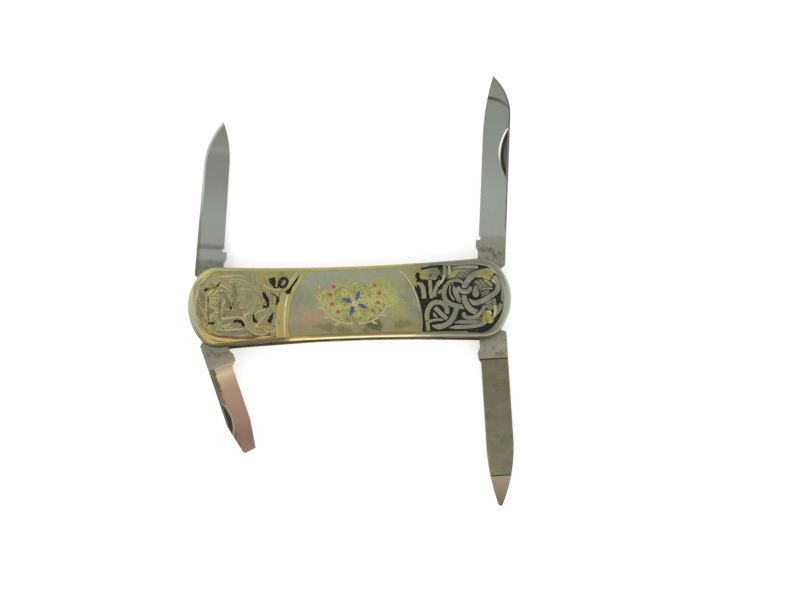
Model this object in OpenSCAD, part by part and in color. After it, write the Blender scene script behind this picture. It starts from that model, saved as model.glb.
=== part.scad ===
// Pocket knife with four folding tools, two in each long edge of a waisted metal handle.
// The main blade and the screwdriver share the front layer, the pen blade and the nail file the back one.
// Origin at the centre of the back face, X along the handle, Z up through the front cover.

/* [Handle] */
// Length of the handle over its round ends
handle_length = 69.3; // [56:0.1:90]
// Width of the handle where it is widest, near its ends
end_width = 17.1; // [14.2:0.1:20.6]
// How far each long side draws in at the waist
waist_depth = 0.8; // [0.3:0.05:1.2]
// Radius of each round end
end_radius = 10.8; // [10.5:0.1:13]
// Radius of the corners between the ends and the long sides
corner_radius = 5; // [4:0.1:6]
// Distance from each end to the widest place
shoulder_inset = 7; // [6:0.5:10]

/* [Covers] */
// Thickness of each cover
cover_t = 0.9; // [0.8:0.05:1.4]
// Width of the rounded rim along the long sides
rim_side = 0.55; // [0.3:0.05:0.7]
// Width of the rounded rim at the ends
rim_end = 1.3; // [0.8:0.05:1.6]
// Height of the rounded rim
rim_h = 0.6; // [0.3:0.05:0.7]
// Width of the border beside the panels along the long sides
border_side = 0.85; // [0.6:0.05:1]
// Width of the border beside the panels at the ends
border_end = 1.5; // [1.4:0.05:2]
// Depth of the two panels that hold the ornament
panel_depth = 0.25; // [0.15:0.05:0.4]
// Thickness of the dark enamel on the floor of each panel
enamel_t = 0.08; // [0.04:0.02:0.14]
// Gap between the enamel and a pin head
enamel_gap = 0.03; // [0.02:0.01:0.08]
// Radius of each curved side of the shield
arch_radius = 16.85; // [14:0.05:20]
// Distance of the centres of those curves from the middle
arch_offset = 2.8; // [1:0.1:4]
// Height of the centres of those curves below the middle
arch_drop = 4.64; // [3:0.1:6]
// Sideways shift of the shield between its two bands
shield_shift = 0.9; // [0:0.1:1]
// Width of the metal band on both sides of the shield
band_w = 1.4; // [1.1:0.1:2]
// Distance from the middle at which the right panel starts beside its upper corner
panel_from = 14.1; // [12:0.1:15]
// Thickness of the shield
shield_t = 0.35; // [0.2:0.05:0.5]
// Gap around the shield in its seat
shield_gap = 0.03; // [0.02:0.01:0.08]

/* [Liners and springs] */
// Thickness of the two outer liners
liner_t = 0.5; // [0.3:0.05:0.8]
// Thickness of the divider between the two layers
divider_t = 0.4; // [0.3:0.05:0.8]
// Distance of the liner edges inside the cover edges
liner_inset = 0.2; // [0.05:0.05:0.4]
// Thickness of a spring's arm
arm_t = 1.5; // [1:0.1:1.8]
// Gap between a spring's arm and the round of a tang
cam_gap = 0.05; // [0.03:0.01:0.1]
// Gap between a spring and a kick or a tang's shoulder
stop_gap = 0.05; // [0.03:0.01:0.1]

/* [Pins and rivets] */
// Diameter of the four pivot pins
pin_d = 1.65; // [1.2:0.05:2]
// Distance of each pivot from the end of the handle
pin_inset_end = 4.9; // [4.7:0.05:6.2]
// Distance of each pivot from the widest long side
pin_inset_side = 3.85; // [3.6:0.05:4.2]
// Width of the lip of each pin head around the pin
head_lip = 0.22; // [0.15:0.01:0.3]
// Clearance below the border left above a pin head
head_sink = 0.03; // [0.02:0.01:0.1]
// Radial clearance of a tool on its pin
pivot_gap = 0.03; // [0.02:0.01:0.08]
// Radial clearance of a pin or rivet in a fixed piece
fixed_gap = 0.01; // [0.01:0.005:0.04]
// Diameter of the ring that fills the layer beside a tool's pin
spacer_d = 4; // [3:0.1:4.4]
// Diameter of the rivets that hold the springs
rivet_d = 1.5; // [1:0.05:1.7]
// Distance of those rivets from the middle
rivet_x = 9; // [5:0.5:14]

/* [Tools] */
// Thickness of each tool at its tang
tool_t = 1.5; // [1.2:0.05:2]
// Gap between a tool and the liner on each side of it
tool_gap = 0.05; // [0.03:0.01:0.1]
// Angle at which a closed tool stands out of the handle
closed_angle = 4.3; // [2:0.1:6]
// Radius of the round of a tang
cam_radius = 2.3; // [1.9:0.05:2.8]
// Depth of the flats on that round
cam_flat_depth = 0.15; // [0.05:0.05:0.3]
// Distance from pivot to the shoulder that stops a tool when open
shoulder_s = 2.2; // [2:0.05:2.6]
// Chamfer on the corner of that shoulder
shoulder_chamfer = 0.5; // [0.3:0.05:0.7]
// Distance from pivot line to the kick
kick_t = 2.65; // [2.4:0.05:2.9]
// Distance along a tool where its kick starts and ends
kick_s = [6.6, 7.9]; // [5:0.1:10]
// Length of the slope up to the kick
kick_slope = 1; // [0.6:0.1:1.4]
// Radius of the round notch between a blade's kick and its cutting edge
notch_r = 0.55; // [0.3:0.05:0.7]
// Distance of the middle of that notch outside the cutting edge
notch_out = 0.14; // [0.05:0.01:0.2]
// Length of the slope down from the kick
kick_fall = 1.1; // [0.8:0.1:1.4]
// Distance along a tool where its ground faces start
grind_s = 9; // [8.5:0.1:10]
// Width of the flat that is left along a blade's back
back_land = 0.3; // [0.2:0.05:0.5]
// Thickness of a blade at its cutting edge
edge_t = 0.24; // [0.15:0.01:0.4]
// Width of the nail nicks of the other tools
nick_w = 1.6; // [1.2:0.1:1.8]
// Distance of a nail nick from the back of its tool
nick_margin = 0.45; // [0.4:0.05:0.6]
// Depth of a nail nick
nick_depth = 0.42; // [0.3:0.01:0.5]

/* [Main blade] */
// Length of the main blade from its pivot
main_length = 45.1; // [35:0.1:54]
// Opening angle in the pose shown
main_open = 94.8; // [4.3:0.1:180]
// Distance from the pivot line to the back
main_back = 3.8; // [3.5:0.05:4.1]
// Distance from the pivot line to the cutting edge
main_edge = 2.05; // [1.8:0.05:2.3]
// Distance of the point from the pivot line
main_tip = 0.3; // [0:0.05:1]
// Length of the curve of the back before the point
main_back_curve = 9; // [6:0.5:14]
// Length of the curve of the cutting edge before the point
main_edge_curve = 14; // [6:0.5:18]
// Place of the middle of the nail nick
main_nick_s = 27.5; // [18:0.5:32]
// Length of the nail nick
main_nick = 11.5; // [8:0.1:12]

/* [Pen blade] */
// Length of the pen blade from its pivot
pen_length = 37.3; // [29:0.1:45]
// Opening angle in the pose shown
pen_open = 85.4; // [4.3:0.1:180]
// Distance from the pivot line to the back
pen_back = 3.5; // [3.3:0.05:3.8]
// Distance from the pivot line to the back at the tang
pen_heel = 3.9; // [3.5:0.05:4.1]
// Distance from the pivot line to the cutting edge
pen_edge = 2.05; // [1.8:0.05:2.3]
// Distance of the point from the pivot line
pen_tip = 0.2; // [0:0.05:1]
// Length of the curve of the back before the point
pen_back_curve = 10.9; // [6:0.5:14]
// Length of the curve of the cutting edge before the point
pen_edge_curve = 9.4; // [6:0.5:14]
// Place of the middle of the nail nick
pen_nick_s = 21; // [16:0.5:24]
// Length of the nail nick
pen_nick = 9; // [7:0.1:11]

/* [Nail file] */
// Length of the nail file from its pivot
file_length = 39.7; // [33:0.1:48]
// Opening angle in the pose shown
file_open = 91; // [4.3:0.1:180]
// Distance from the pivot line to the back
file_back = 3.7; // [3.5:0.05:4]
// Distance from the pivot line to the other side
file_edge = 2.1; // [1.8:0.05:2.3]
// Length of the curve of the back before the point
file_back_curve = 14.3; // [8:0.5:18]
// Length of the curve of the other side before the point
file_edge_curve = 12.8; // [8:0.5:18]
// Distance of the point from the pivot line, towards the back
file_tip = 0.1; // [0:0.05:0.5]
// Radius of the blunt end of the point
file_round = 0.5; // [0.2:0.05:0.8]
// Distance from the pivot to the start of the toothed faces
file_from = 8.3; // [8:0.1:10]
// Length of the smooth point beyond the toothed faces
file_point = 6.4; // [4:0.1:9]
// Depth to which the toothed faces are cut below the tang
file_relief = 0.12; // [0.05:0.01:0.3]
// Thickness of the smooth point at its end
file_point_t = 0.6; // [0.4:0.05:1]
// Place of the middle of the nail nick
file_nick_s = 25; // [16:0.5:28]
// Length of the nail nick
file_nick = 8; // [6:0.1:9]

/* [Screwdriver] */
// Length of the screwdriver from its pivot
driver_length = 27.5; // [23:0.1:33]
// Opening angle in the pose shown
driver_open = 72.6; // [4.3:0.1:180]
// Distance from the pivot line to the back
driver_back = 3.5; // [3.3:0.05:3.8]
// Distance from the pivot line to the other side
driver_edge = 1.6; // [1.3:0.05:1.8]
// Length of the taper before the flat end
driver_taper = 6.5; // [4:0.1:9]
// Distances of the two corners of the flat end from the pivot line
driver_end = [-1.95, 0.75]; // [-3:0.05:2]
// How far the flat end leans back at its outer corner
driver_lean = 0.4; // [0:0.05:0.8]
// How far the rounding of its other corner reaches
driver_round = 0.6; // [0.2:0.05:1]
// Distance from the pivot to the start of the ground faces
driver_from = 8.4; // [8:0.1:10]
// Depth to which those faces are ground below the tang
driver_relief = 0.12; // [0.05:0.01:0.3]
// Thickness of the flat end
driver_end_t = 0.6; // [0.4:0.05:1]
// Place of the middle of the nail nick
driver_nick_s = 19.5; // [14:0.5:20]
// Length of the nail nick
driver_nick = 7.6; // [6:0.1:9]
// Width of the nail nick
driver_nick_w = 1.1; // [0.8:0.1:1.6]

/* [Hidden] */

$fa = 4;
$fs = 0.1;
// Segments in each arc of the handle's outline and steps in its rounded rim
arc_n = 8;
rim_n = 4;
// Segments in the curves of a tool's point
point_n = 12;
// Extra reach of a cutter past the surface it opens
over = 1;

gilt = "#a89a58";
silver = "#9a9a90";
steel = "#82877f";
brass = "#b89a50";
enamel = "#201e1a";

layer_t = tool_t + 2 * tool_gap;
back_liner_z = cover_t;
back_layer_z = back_liner_z + liner_t;
divider_z = back_layer_z + layer_t;
front_layer_z = divider_z + divider_t;
front_liner_z = front_layer_z + layer_t;
front_cover_z = front_liner_z + liner_t;
knife_t = front_cover_z + cover_t;

pin_x = handle_length / 2 - pin_inset_end;
pin_y = end_width / 2 - pin_inset_side;
head_d = pin_d + 2 * head_lip;
head_h = panel_depth - head_sink;
cam_flat = cam_radius - cam_flat_depth;

// Corners of the handle, as the signs of X and Y, where each tool has its pivot
MAIN = [1, 1];
PEN = [-1, 1];
FILE = [1, -1];
DRIVER = [-1, -1];

// Points of an arc about c, without its first point when skip is 1
function arc(c, r, from, to, n, skip = 0) =
    [for (i = [skip:n]) let (a = from + (to - from) * i / n) c + r * [cos(a), sin(a)]];

function reversed(p) = [for (i = [len(p) - 1:-1:0]) p[i]];
function without_ends(p, first, last) = [for (i = [first:len(p) - 1 - last]) p[i]];
function mirrored(p, sx, sy) = [for (q = p) [q.x * sx, q.y * sy]];

// One quarter of the handle's outline: round end, corner and the hollow long side.
// The corner arc touches the end arc from inside and the side arc from outside.
function quarter(side_in, end_in) =
    let (
        ex = handle_length / 2 - end_radius,
        re = end_radius - end_in,
        half = end_width / 2 - waist_depth - side_in,
        sx = handle_length / 2 - shoulder_inset,
        rs = (sx * sx + waist_depth * waist_depth) / (2 * waist_depth),
        ys = half + rs,
        f = corner_radius - (side_in + end_in) / 2,
        d = norm([ex, ys]),
        along = (d * d + (rs + f) * (rs + f) - (re - f) * (re - f)) / (2 * d),
        across = sqrt((rs + f) * (rs + f) - along * along),
        c = [0, ys] + along * [ex, -ys] / d + across * [ys, ex] / d,
        a_end = atan2(c.y, c.x - ex),
        a_corner = atan2(ys - c.y, -c.x),
        a_side = atan2(c.y - ys, c.x)
    )
    concat(
        arc([ex, 0], re, 0, a_end, arc_n),
        arc(c, f, a_end, a_corner, arc_n, 1),
        arc([0, ys], rs, a_side, -90, arc_n, 1)
    );

// The whole outline, drawn in by side_in along its sides and by end_in at its ends
function outline(side_in = 0, end_in = 0) =
    let (q = quarter(side_in, end_in), r = reversed(q))
    concat(
        q,
        without_ends(mirrored(r, -1, 1), 1, 0),
        without_ends(mirrored(q, -1, -1), 1, 0),
        without_ends(mirrored(r, 1, -1), 1, 1)
    );

// Points of an arc that leaves a along the tool and ends at the point b
function point_curve(a, b) =
    let (
        run = b.x - a.x,
        rise = b.y - a.y,
        r = (run * run + rise * rise) / (2 * abs(rise)),
        turn = asin(run / r)
    )
    [for (i = [0:point_n]) a + [r * sin(turn * i / point_n), sign(rise) * r * (1 - cos(turn * i / point_n))]];

// Points that round the corner c between a and b, starting at a given reach from it
function rounded(a, c, b, reach) =
    let (p = c + reach * (a - c) / norm(a - c), q = c + reach * (b - c) / norm(b - c))
    [for (i = [0:4]) let (t = i / 4) (1 - t) * (1 - t) * p + 2 * t * (1 - t) * c + t * t * q];

// Tang outline from the cutting side past the kick to the pivot, and from the pivot to the shoulder
function tang_front(edge) = [
    [kick_s[1] + kick_fall, edge], [kick_s[1], kick_t], [kick_s[0], kick_t],
    [kick_s[0] - kick_slope, cam_flat], [0, cam_flat]
];
function tang_rear(back) = [
    [0, -cam_flat], [shoulder_s, -cam_flat], [shoulder_s, -back + shoulder_chamfer],
    [shoulder_s + shoulder_chamfer, -back]
];

// Ring k of the cover's loft: full outline at the foot, then up the rounded rim
function rim_ring(k) =
    let (a = 90 * k / rim_n)
    [for (p = outline(rim_side * (1 - cos(a)), rim_end * (1 - cos(a))))
        [p.x, p.y, cover_t - rim_h + rim_h * sin(a)]];

module cover_blank() {
    foot = [for (p = outline()) [p.x, p.y, 0]];
    rings = concat([foot], [for (k = [0:rim_n]) rim_ring(k)]);
    n = len(foot);
    last = (len(rings) - 1) * n;
    polyhedron(
        points = [for (r = rings) each r],
        faces = concat(
            [[for (i = [0:n - 1]) i]],
            [[for (i = [n - 1:-1:0]) last + i]],
            [for (k = [0:len(rings) - 2], i = [0:n - 1])
                [k * n + i, (k + 1) * n + i, (k + 1) * n + (i + 1) % n]],
            [for (k = [0:len(rings) - 2], i = [0:n - 1])
                [k * n + i, (k + 1) * n + (i + 1) % n, k * n + (i + 1) % n]]
        )
    );
}

module arch_2d(grow) {
    intersection_for (side = [-1, 1])
        translate([side * arch_offset, -arch_drop])
            circle(arch_radius + grow);
}

module shield_2d(gap) {
    intersection() {
        translate([shield_shift, 0]) arch_2d(-gap);
        polygon(outline(border_side + gap, border_end));
    }
}

// Sunk panel on the left (-1) or right (1) of the shield
module panel_2d(side) {
    from = side > 0 ? panel_from : -handle_length / 2;
    intersection() {
        difference() {
            polygon(outline(border_side, border_end));
            arch_2d(band_w);
        }
        translate([from, -end_width / 2])
            square([handle_length / 2 - max(from, 0), end_width]);
    }
}

module at_pins() {
    for (x = [-pin_x, pin_x], y = [-pin_y, pin_y])
        translate([x, y, 0]) children();
}

module cover() {
    difference() {
        cover_blank();
        for (side = [-1, 1])
            translate([0, 0, cover_t - panel_depth])
                linear_extrude(panel_depth + over) panel_2d(side);
        translate([0, 0, cover_t - shield_t])
            linear_extrude(shield_t + over) shield_2d(0);
        at_pins() translate([0, 0, -over]) cylinder(d = pin_d + 2 * fixed_gap, h = cover_t + 2 * over);
    }
}

module shield() {
    translate([0, 0, cover_t - shield_t])
        linear_extrude(shield_t) shield_2d(shield_gap);
}

module panel_enamel(side) {
    difference() {
        translate([0, 0, cover_t - panel_depth])
            linear_extrude(enamel_t) panel_2d(side);
        at_pins() cylinder(d = head_d + 2 * enamel_gap, h = cover_t);
    }
}

// Seats of the covers: the front one faces up, the back one is turned over end for end
module on_front() {
    translate([0, 0, front_cover_z]) children();
}
module on_back() {
    translate([0, 0, cover_t]) rotate([0, 180, 0]) children();
}

module liner(t) {
    difference() {
        linear_extrude(t) polygon(outline(liner_inset, liner_inset));
        at_pins() translate([0, 0, -over]) cylinder(d = pin_d + 2 * fixed_gap, h = t + 2 * over);
        for (x = [-rivet_x, rivet_x])
            translate([x, 0, -over]) cylinder(d = rivet_d + 2 * fixed_gap, h = t + 2 * over);
    }
}

// Spring for one layer: a stiff middle with one arm under the upper right tang
// and one over the lower left tang. The kicks of the closed tools rest on its middle.
module spring() {
    arm_y = pin_y - cam_radius - cam_gap;
    slope_s = kick_s[0] - kick_slope;
    body_y = pin_y - stop_gap - max(
        kick_t * cos(closed_angle) - kick_s[0] * sin(closed_angle),
        cam_flat * cos(closed_angle) - slope_s * sin(closed_angle)
    );
    root_x = pin_x - slope_s * cos(closed_angle) - cam_flat * sin(closed_angle);
    end_x = pin_x + shoulder_s - stop_gap;
    half = [
        [-root_x, -body_y], [root_x, -body_y], [root_x, arm_y - arm_t],
        [end_x, arm_y - arm_t], [end_x, arm_y], [root_x, arm_y]
    ];
    difference() {
        linear_extrude(layer_t) polygon(concat(half, mirrored(half, -1, -1)));
        for (x = [-rivet_x, rivet_x])
            translate([x, 0, -over]) cylinder(d = rivet_d + 2 * fixed_gap, h = layer_t + 2 * over);
    }
}

module pin(corner) {
    r = (head_d * head_d / 4 + head_h * head_h) / (2 * head_h);
    translate([corner.x * pin_x, corner.y * pin_y, 0]) {
        translate([0, 0, panel_depth]) cylinder(d = pin_d, h = knife_t - 2 * panel_depth);
        for (end = [0, 1])
            translate([0, 0, knife_t / 2])
                mirror([0, 0, end])
                    translate([0, 0, knife_t / 2 - panel_depth])
                        intersection() {
                            translate([0, 0, head_h / 2])
                                cube([2 * head_d, 2 * head_d, head_h], center = true);
                            translate([0, 0, head_h - r]) sphere(r);
                        }
    }
}

module spacer(corner, z) {
    translate([corner.x * pin_x, corner.y * pin_y, z])
        difference() {
            cylinder(d = spacer_d, h = layer_t);
            translate([0, 0, -over]) cylinder(d = pin_d + 2 * fixed_gap, h = layer_t + 2 * over);
        }
}

module spring_rivet(x) {
    translate([x, 0, back_liner_z])
        cylinder(d = rivet_d, h = front_cover_z - back_liner_z);
}

// Flat tool with its tang at the origin, its length along X and its cutting side along Y.
// shape lists the outline from the shoulder round the point to the end of the kick.
module tool_blank(shape, back, edge) {
    difference() {
        linear_extrude(tool_t, center = true) {
            polygon(concat(tang_rear(back), shape, tang_front(edge)));
            intersection() {
                circle(cam_radius);
                square([2 * cam_radius + over, 2 * cam_flat], center = true);
            }
        }
        cylinder(d = pin_d + 2 * pivot_gap, h = tool_t + 2 * over, center = true);
    }
}

// Cutter for the round notch between a blade's kick and its cutting edge
module edge_notch(edge) {
    translate([kick_s[1] + notch_r, edge + notch_out, 0])
        cylinder(r = notch_r, h = tool_t + 2 * over, center = true);
}

// Both sides of a tool
module both_sides() {
    for (side = [0, 1]) mirror([0, 0, side]) children();
}

// Cutter that grinds one side of a blade from its back down to a thin edge
module blade_grind(back, edge) {
    angle = atan((tool_t - edge_t) / 2 / (back + edge - back_land));
    translate([grind_s, back_land - back, tool_t / 2])
        rotate([-angle, 0, 0])
            cube([handle_length, back + edge + over, tool_t]);
}

// Cutter that thins a tool evenly from one place along it
module relief(from, depth, back, edge) {
    translate([from, -back - over, tool_t / 2 - depth])
        cube([handle_length, back + edge + 2 * over, tool_t]);
}

// Cutter that tapers the last stretch of a tool, from start depth to end thickness
module end_taper(length, stretch, depth, end_t, back, edge) {
    angle = atan((tool_t / 2 - depth - end_t / 2) / stretch);
    translate([length - stretch, -back - over, tool_t / 2 - depth])
        rotate([0, angle, 0])
            cube([handle_length, back + edge + 2 * over, tool_t]);
}

// Cutter for a nail nick: a cone laid on its side, steep towards the back of the tool
module nail_nick(s, length, width, back, fall) {
    wall = nick_margin - back;
    face = tool_t / 2 - fall * (nick_margin - back_land);
    r = (length * length / 4 + nick_depth * nick_depth) / (2 * nick_depth);
    reach = width + over;
    slope = nick_depth / width - fall;
    translate([s, wall, face - nick_depth + r])
        rotate([-90, 0, 0])
            cylinder(h = reach, r1 = r, r2 = r - slope * reach);
}

module blade(length, heel, back, edge, tip, back_curve, edge_curve, nick_s, nick) {
    fall = (tool_t - edge_t) / 2 / (back + edge - back_land);
    shape = concat(
        point_curve([length - back_curve, -back], [length, tip]),
        without_ends(reversed(point_curve([length - edge_curve, edge], [length, tip])), 1, 0)
    );
    difference() {
        tool_blank(shape, heel, edge);
        edge_notch(edge);
        both_sides() blade_grind(back, edge);
        nail_nick(nick_s, nick, nick_w, back, fall);
    }
}

// Turns a tool to its place: closed towards the middle, then opened by an angle.
// Tools at the upper left and lower right lie face down in the back layer.
module place(corner, angle) {
    hand = corner.x * corner.y;
    translate([corner.x * pin_x, corner.y * pin_y, (hand > 0 ? front_layer_z : back_layer_z) + layer_t / 2])
        rotate([0, 0, (corner.x > 0 ? 180 : 0) - hand * angle])
            rotate([hand > 0 ? 0 : 180, 0, 0]) children();
}

module front_cover() { color(gilt) on_front() cover(); }
module back_cover() { color(gilt) on_back() cover(); }
module front_shield() { color(silver) on_front() shield(); }
module back_shield() { color(silver) on_back() shield(); }
module front_left_enamel() { color(enamel) on_front() panel_enamel(-1); }
module front_right_enamel() { color(enamel) on_front() panel_enamel(1); }
module back_left_enamel() { color(enamel) on_back() panel_enamel(1); }
module back_right_enamel() { color(enamel) on_back() panel_enamel(-1); }
module front_liner() { color(brass) translate([0, 0, front_liner_z]) liner(liner_t); }
module divider() { color(brass) translate([0, 0, divider_z]) liner(divider_t); }
module back_liner() { color(brass) translate([0, 0, back_liner_z]) liner(liner_t); }
module front_spring() { color(steel) translate([0, 0, front_layer_z]) spring(); }
module back_spring() { color(steel) translate([0, 0, back_layer_z]) mirror([1, 0, 0]) spring(); }

module main_blade() {
    color(steel) place(MAIN, main_open)
        blade(main_length, main_back, main_back, main_edge, main_tip, main_back_curve, main_edge_curve,
            main_nick_s, main_nick);
}
module pen_blade() {
    color(steel) place(PEN, pen_open)
        blade(pen_length, pen_heel, pen_back, pen_edge, pen_tip, pen_back_curve, pen_edge_curve,
            pen_nick_s, pen_nick);
}
module nail_file() {
    end = [file_length - file_round, -file_tip];
    blunt = arc(end, file_round, -60, 60, 6);
    shape = concat(
        point_curve([file_length - file_back_curve, -file_back], blunt[0]),
        without_ends(blunt, 1, 1),
        reversed(point_curve([file_length - file_edge_curve, file_edge], blunt[6]))
    );
    color(steel) place(FILE, file_open)
        difference() {
            tool_blank(shape, file_back, file_edge);
            both_sides() relief(file_from, file_relief, file_back, file_edge);
            both_sides() end_taper(file_length, file_point, file_relief, file_point_t, file_back, file_edge);
            nail_nick(file_nick_s, file_nick, nick_w, file_back, 0);
        }
}
module screwdriver() {
    start = [driver_length - driver_taper, -driver_back];
    corner = [driver_length, driver_end[0]];
    lip = [driver_length - driver_lean, driver_end[1]];
    shape = concat(
        [start], rounded(start, corner, lip, driver_round),
        [lip, [driver_length - driver_taper, driver_edge]]
    );
    color(steel) place(DRIVER, driver_open)
        difference() {
            tool_blank(shape, driver_back, driver_edge);
            both_sides() relief(driver_from, driver_relief, driver_back, driver_edge);
            both_sides() end_taper(driver_length, driver_taper, driver_relief, driver_end_t,
                driver_back, driver_edge);
            nail_nick(driver_nick_s, driver_nick, driver_nick_w, driver_back, 0);
        }
}

module main_blade_pin() { color(brass) pin(MAIN); }
module pen_blade_pin() { color(brass) pin(PEN); }
module nail_file_pin() { color(brass) pin(FILE); }
module screwdriver_pin() { color(brass) pin(DRIVER); }
module main_blade_spacer() { color(brass) spacer(MAIN, back_layer_z); }
module pen_blade_spacer() { color(brass) spacer(PEN, front_layer_z); }
module nail_file_spacer() { color(brass) spacer(FILE, front_layer_z); }
module screwdriver_spacer() { color(brass) spacer(DRIVER, back_layer_z); }
module left_spring_rivet() { color(brass) spring_rivet(-rivet_x); }
module right_spring_rivet() { color(brass) spring_rivet(rivet_x); }

front_cover();
back_cover();
front_shield();
back_shield();
front_left_enamel();
front_right_enamel();
back_left_enamel();
back_right_enamel();
front_liner();
divider();
back_liner();
front_spring();
back_spring();
main_blade();
pen_blade();
nail_file();
screwdriver();
main_blade_pin();
pen_blade_pin();
nail_file_pin();
screwdriver_pin();
main_blade_spacer();
pen_blade_spacer();
nail_file_spacer();
screwdriver_spacer();
left_spring_rivet();
right_spring_rivet();
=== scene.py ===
from math import cos, radians, sin, sqrt

import bmesh
import bpy
from mathutils import Euler, Matrix, Vector


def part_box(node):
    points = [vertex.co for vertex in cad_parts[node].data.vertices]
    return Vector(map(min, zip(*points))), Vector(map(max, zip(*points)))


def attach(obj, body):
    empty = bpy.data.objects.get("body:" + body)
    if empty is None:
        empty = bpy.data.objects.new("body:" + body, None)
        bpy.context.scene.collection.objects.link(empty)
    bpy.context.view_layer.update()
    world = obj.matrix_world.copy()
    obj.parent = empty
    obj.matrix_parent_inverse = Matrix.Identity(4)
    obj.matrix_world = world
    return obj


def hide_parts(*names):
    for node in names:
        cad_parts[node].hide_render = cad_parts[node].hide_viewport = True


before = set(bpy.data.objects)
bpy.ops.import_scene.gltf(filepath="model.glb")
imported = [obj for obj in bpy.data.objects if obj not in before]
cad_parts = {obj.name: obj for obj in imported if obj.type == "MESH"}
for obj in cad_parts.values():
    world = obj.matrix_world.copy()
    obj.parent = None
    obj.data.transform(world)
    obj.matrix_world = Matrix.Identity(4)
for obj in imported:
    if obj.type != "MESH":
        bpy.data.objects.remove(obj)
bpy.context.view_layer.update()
MM = 0.001

# Liners and divider
# Three plates of rolled brass, cut to the outline of the handle and riveted through the springs.
# The tools turn between them, and their dull edges show as fine lines along both sides.


class Signal:
    """A value on its way through a shader: reckoning with it adds the nodes that do the sum."""

    def __init__(self, tree, socket):
        self.tree, self.socket = tree, socket

    def lead_to(self, socket):
        self.tree.links.new(self.socket, socket)

    def __add__(self, other):
        return math("ADD", self, other)

    __radd__ = __add__

    def __sub__(self, other):
        return math("SUBTRACT", self, other)

    def __rsub__(self, other):
        return math("SUBTRACT", other, self)

    def __mul__(self, other):
        return math("MULTIPLY", self, other)

    def __truediv__(self, other):
        return math("DIVIDE", self, other)

    def __abs__(self):
        return math("ABSOLUTE", self)


def add(tree, kind, inputs, output=0, **settings):
    """Adds a shader node, sets its options, fills or links its inputs and gives one of its outputs."""
    made = tree.nodes.new(kind)
    for option, value in settings.items():
        setattr(made, option, value)
    for socket, value in inputs.items():
        if isinstance(value, Signal):
            value.lead_to(made.inputs[socket])
        else:
            made.inputs[socket].default_value = value
    return Signal(tree, made.outputs[output])


def math(operation, first, second=0.0):
    tree = first.tree if isinstance(first, Signal) else second.tree
    return add(tree, "ShaderNodeMath", {0: first, 1: second}, operation=operation)


def mixed(share, first, second):
    """The colour between two others, each a plain colour or one worked out before."""
    first, second = (tone if isinstance(tone, Signal) else (*tone, 1) for tone in (first, second))
    return add(share.tree, "ShaderNodeMix", {0: share, 6: first, 7: second}, 2, data_type="RGBA")


def between(value, low, high, to_low=0.0, to_high=1.0):
    """A soft step from one level to another as a value passes between two bounds."""
    ends = {"Value": value, "From Min": low, "From Max": high, "To Min": to_low, "To Max": to_high}
    return add(value.tree, "ShaderNodeMapRange", ends, interpolation_type="SMOOTHSTEP")


def effect(name, inputs, outputs):
    """An empty node group for a surface effect that several finishes share, what it is given and gives."""
    group = bpy.data.node_groups.new(name, "ShaderNodeTree")
    for socket, kind in inputs.items():
        group.interface.new_socket(socket, in_out="INPUT", socket_type="NodeSocket" + kind)
    for socket in outputs:
        group.interface.new_socket(socket, in_out="OUTPUT", socket_type="NodeSocketFloat")
    given = {socket.name: Signal(group, socket) for socket in group.nodes.new("NodeGroupInput").outputs}
    return group, given, group.nodes.new("NodeGroupOutput").inputs


tarnish, given, out = effect(
    "tarnish", {"Vector": "Vector", "Scale": "Float", "Level": "Float", "Soft": "Float"}, ("Mask", "Cloud"))
cloud = add(tarnish, "ShaderNodeTexNoise",
            {"Vector": given["Vector"], "Scale": given["Scale"], "Detail": 6, "Roughness": 0.62})
between(cloud, given["Level"] - given["Soft"], given["Level"] + given["Soft"]).lead_to(out["Mask"])
cloud.lead_to(out["Cloud"])

hairlines, given, out = effect("hairlines", {"Vector": "Vector", "Stretch": "Vector"}, ("Lines", "Scratches"))
drawn = add(hairlines, "ShaderNodeMapping", {"Vector": given["Vector"], "Scale": given["Stretch"]})
grain = add(hairlines, "ShaderNodeTexNoise", {"Vector": drawn, "Scale": 1, "Detail": 4, "Roughness": 0.7})
grain.lead_to(out["Lines"])
between(grain, 0.62, 0.7).lead_to(out["Scratches"])


def placed(group, where, **values):
    """Puts a shared effect into a finish and gives all that it puts out."""
    made = where.tree.nodes.new("ShaderNodeGroup")
    made.node_tree = group
    where.lead_to(made.inputs["Vector"])
    for socket, value in values.items():
        made.inputs[socket].default_value = value
    return [Signal(where.tree, socket) for socket in made.outputs]


def tarnished(where, scale, level, soft):
    """The share of tarnish and the cloud it comes from."""
    return placed(tarnish, where, Scale=scale, Level=level, Soft=soft)


def lined(where, stretch):
    """Fine drawn lines and the few deeper scratches among them."""
    return placed(hairlines, where, Stretch=stretch)


def finish(name, metallic=1):
    """A new finish: its material, the inputs of its shader and the object's own coordinates."""
    material = bpy.data.materials.new(name)
    material.use_nodes = True
    shader = material.node_tree.nodes["Principled BSDF"].inputs
    shader["Metallic"].default_value = metallic
    return material, shader, add(material.node_tree, "ShaderNodeTexCoord", {}, "Object")


def relief(shader, height, depth, strength):
    """Fine relief on a finish, its depth in millimetres."""
    bump = {"Height": height, "Distance": depth * MM, "Strength": strength}
    add(height.tree, "ShaderNodeBump", bump).lead_to(shader["Normal"])


def surface(shader, colour, cloud, roughness, depth, strength, grain=None):
    """Gives a finish its colour, a roughness that follows a cloud between two bounds, and fine relief."""
    colour.lead_to(shader["Base Color"])
    between(cloud, 0.3, 0.7, *roughness).lead_to(shader["Roughness"])
    relief(shader, grain or cloud, depth, strength)


def dress(material, *nodes):
    """Gives nodes that keep their shape a finish."""
    for node in nodes:
        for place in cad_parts[node].material_slots:
            place.material = material


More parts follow.
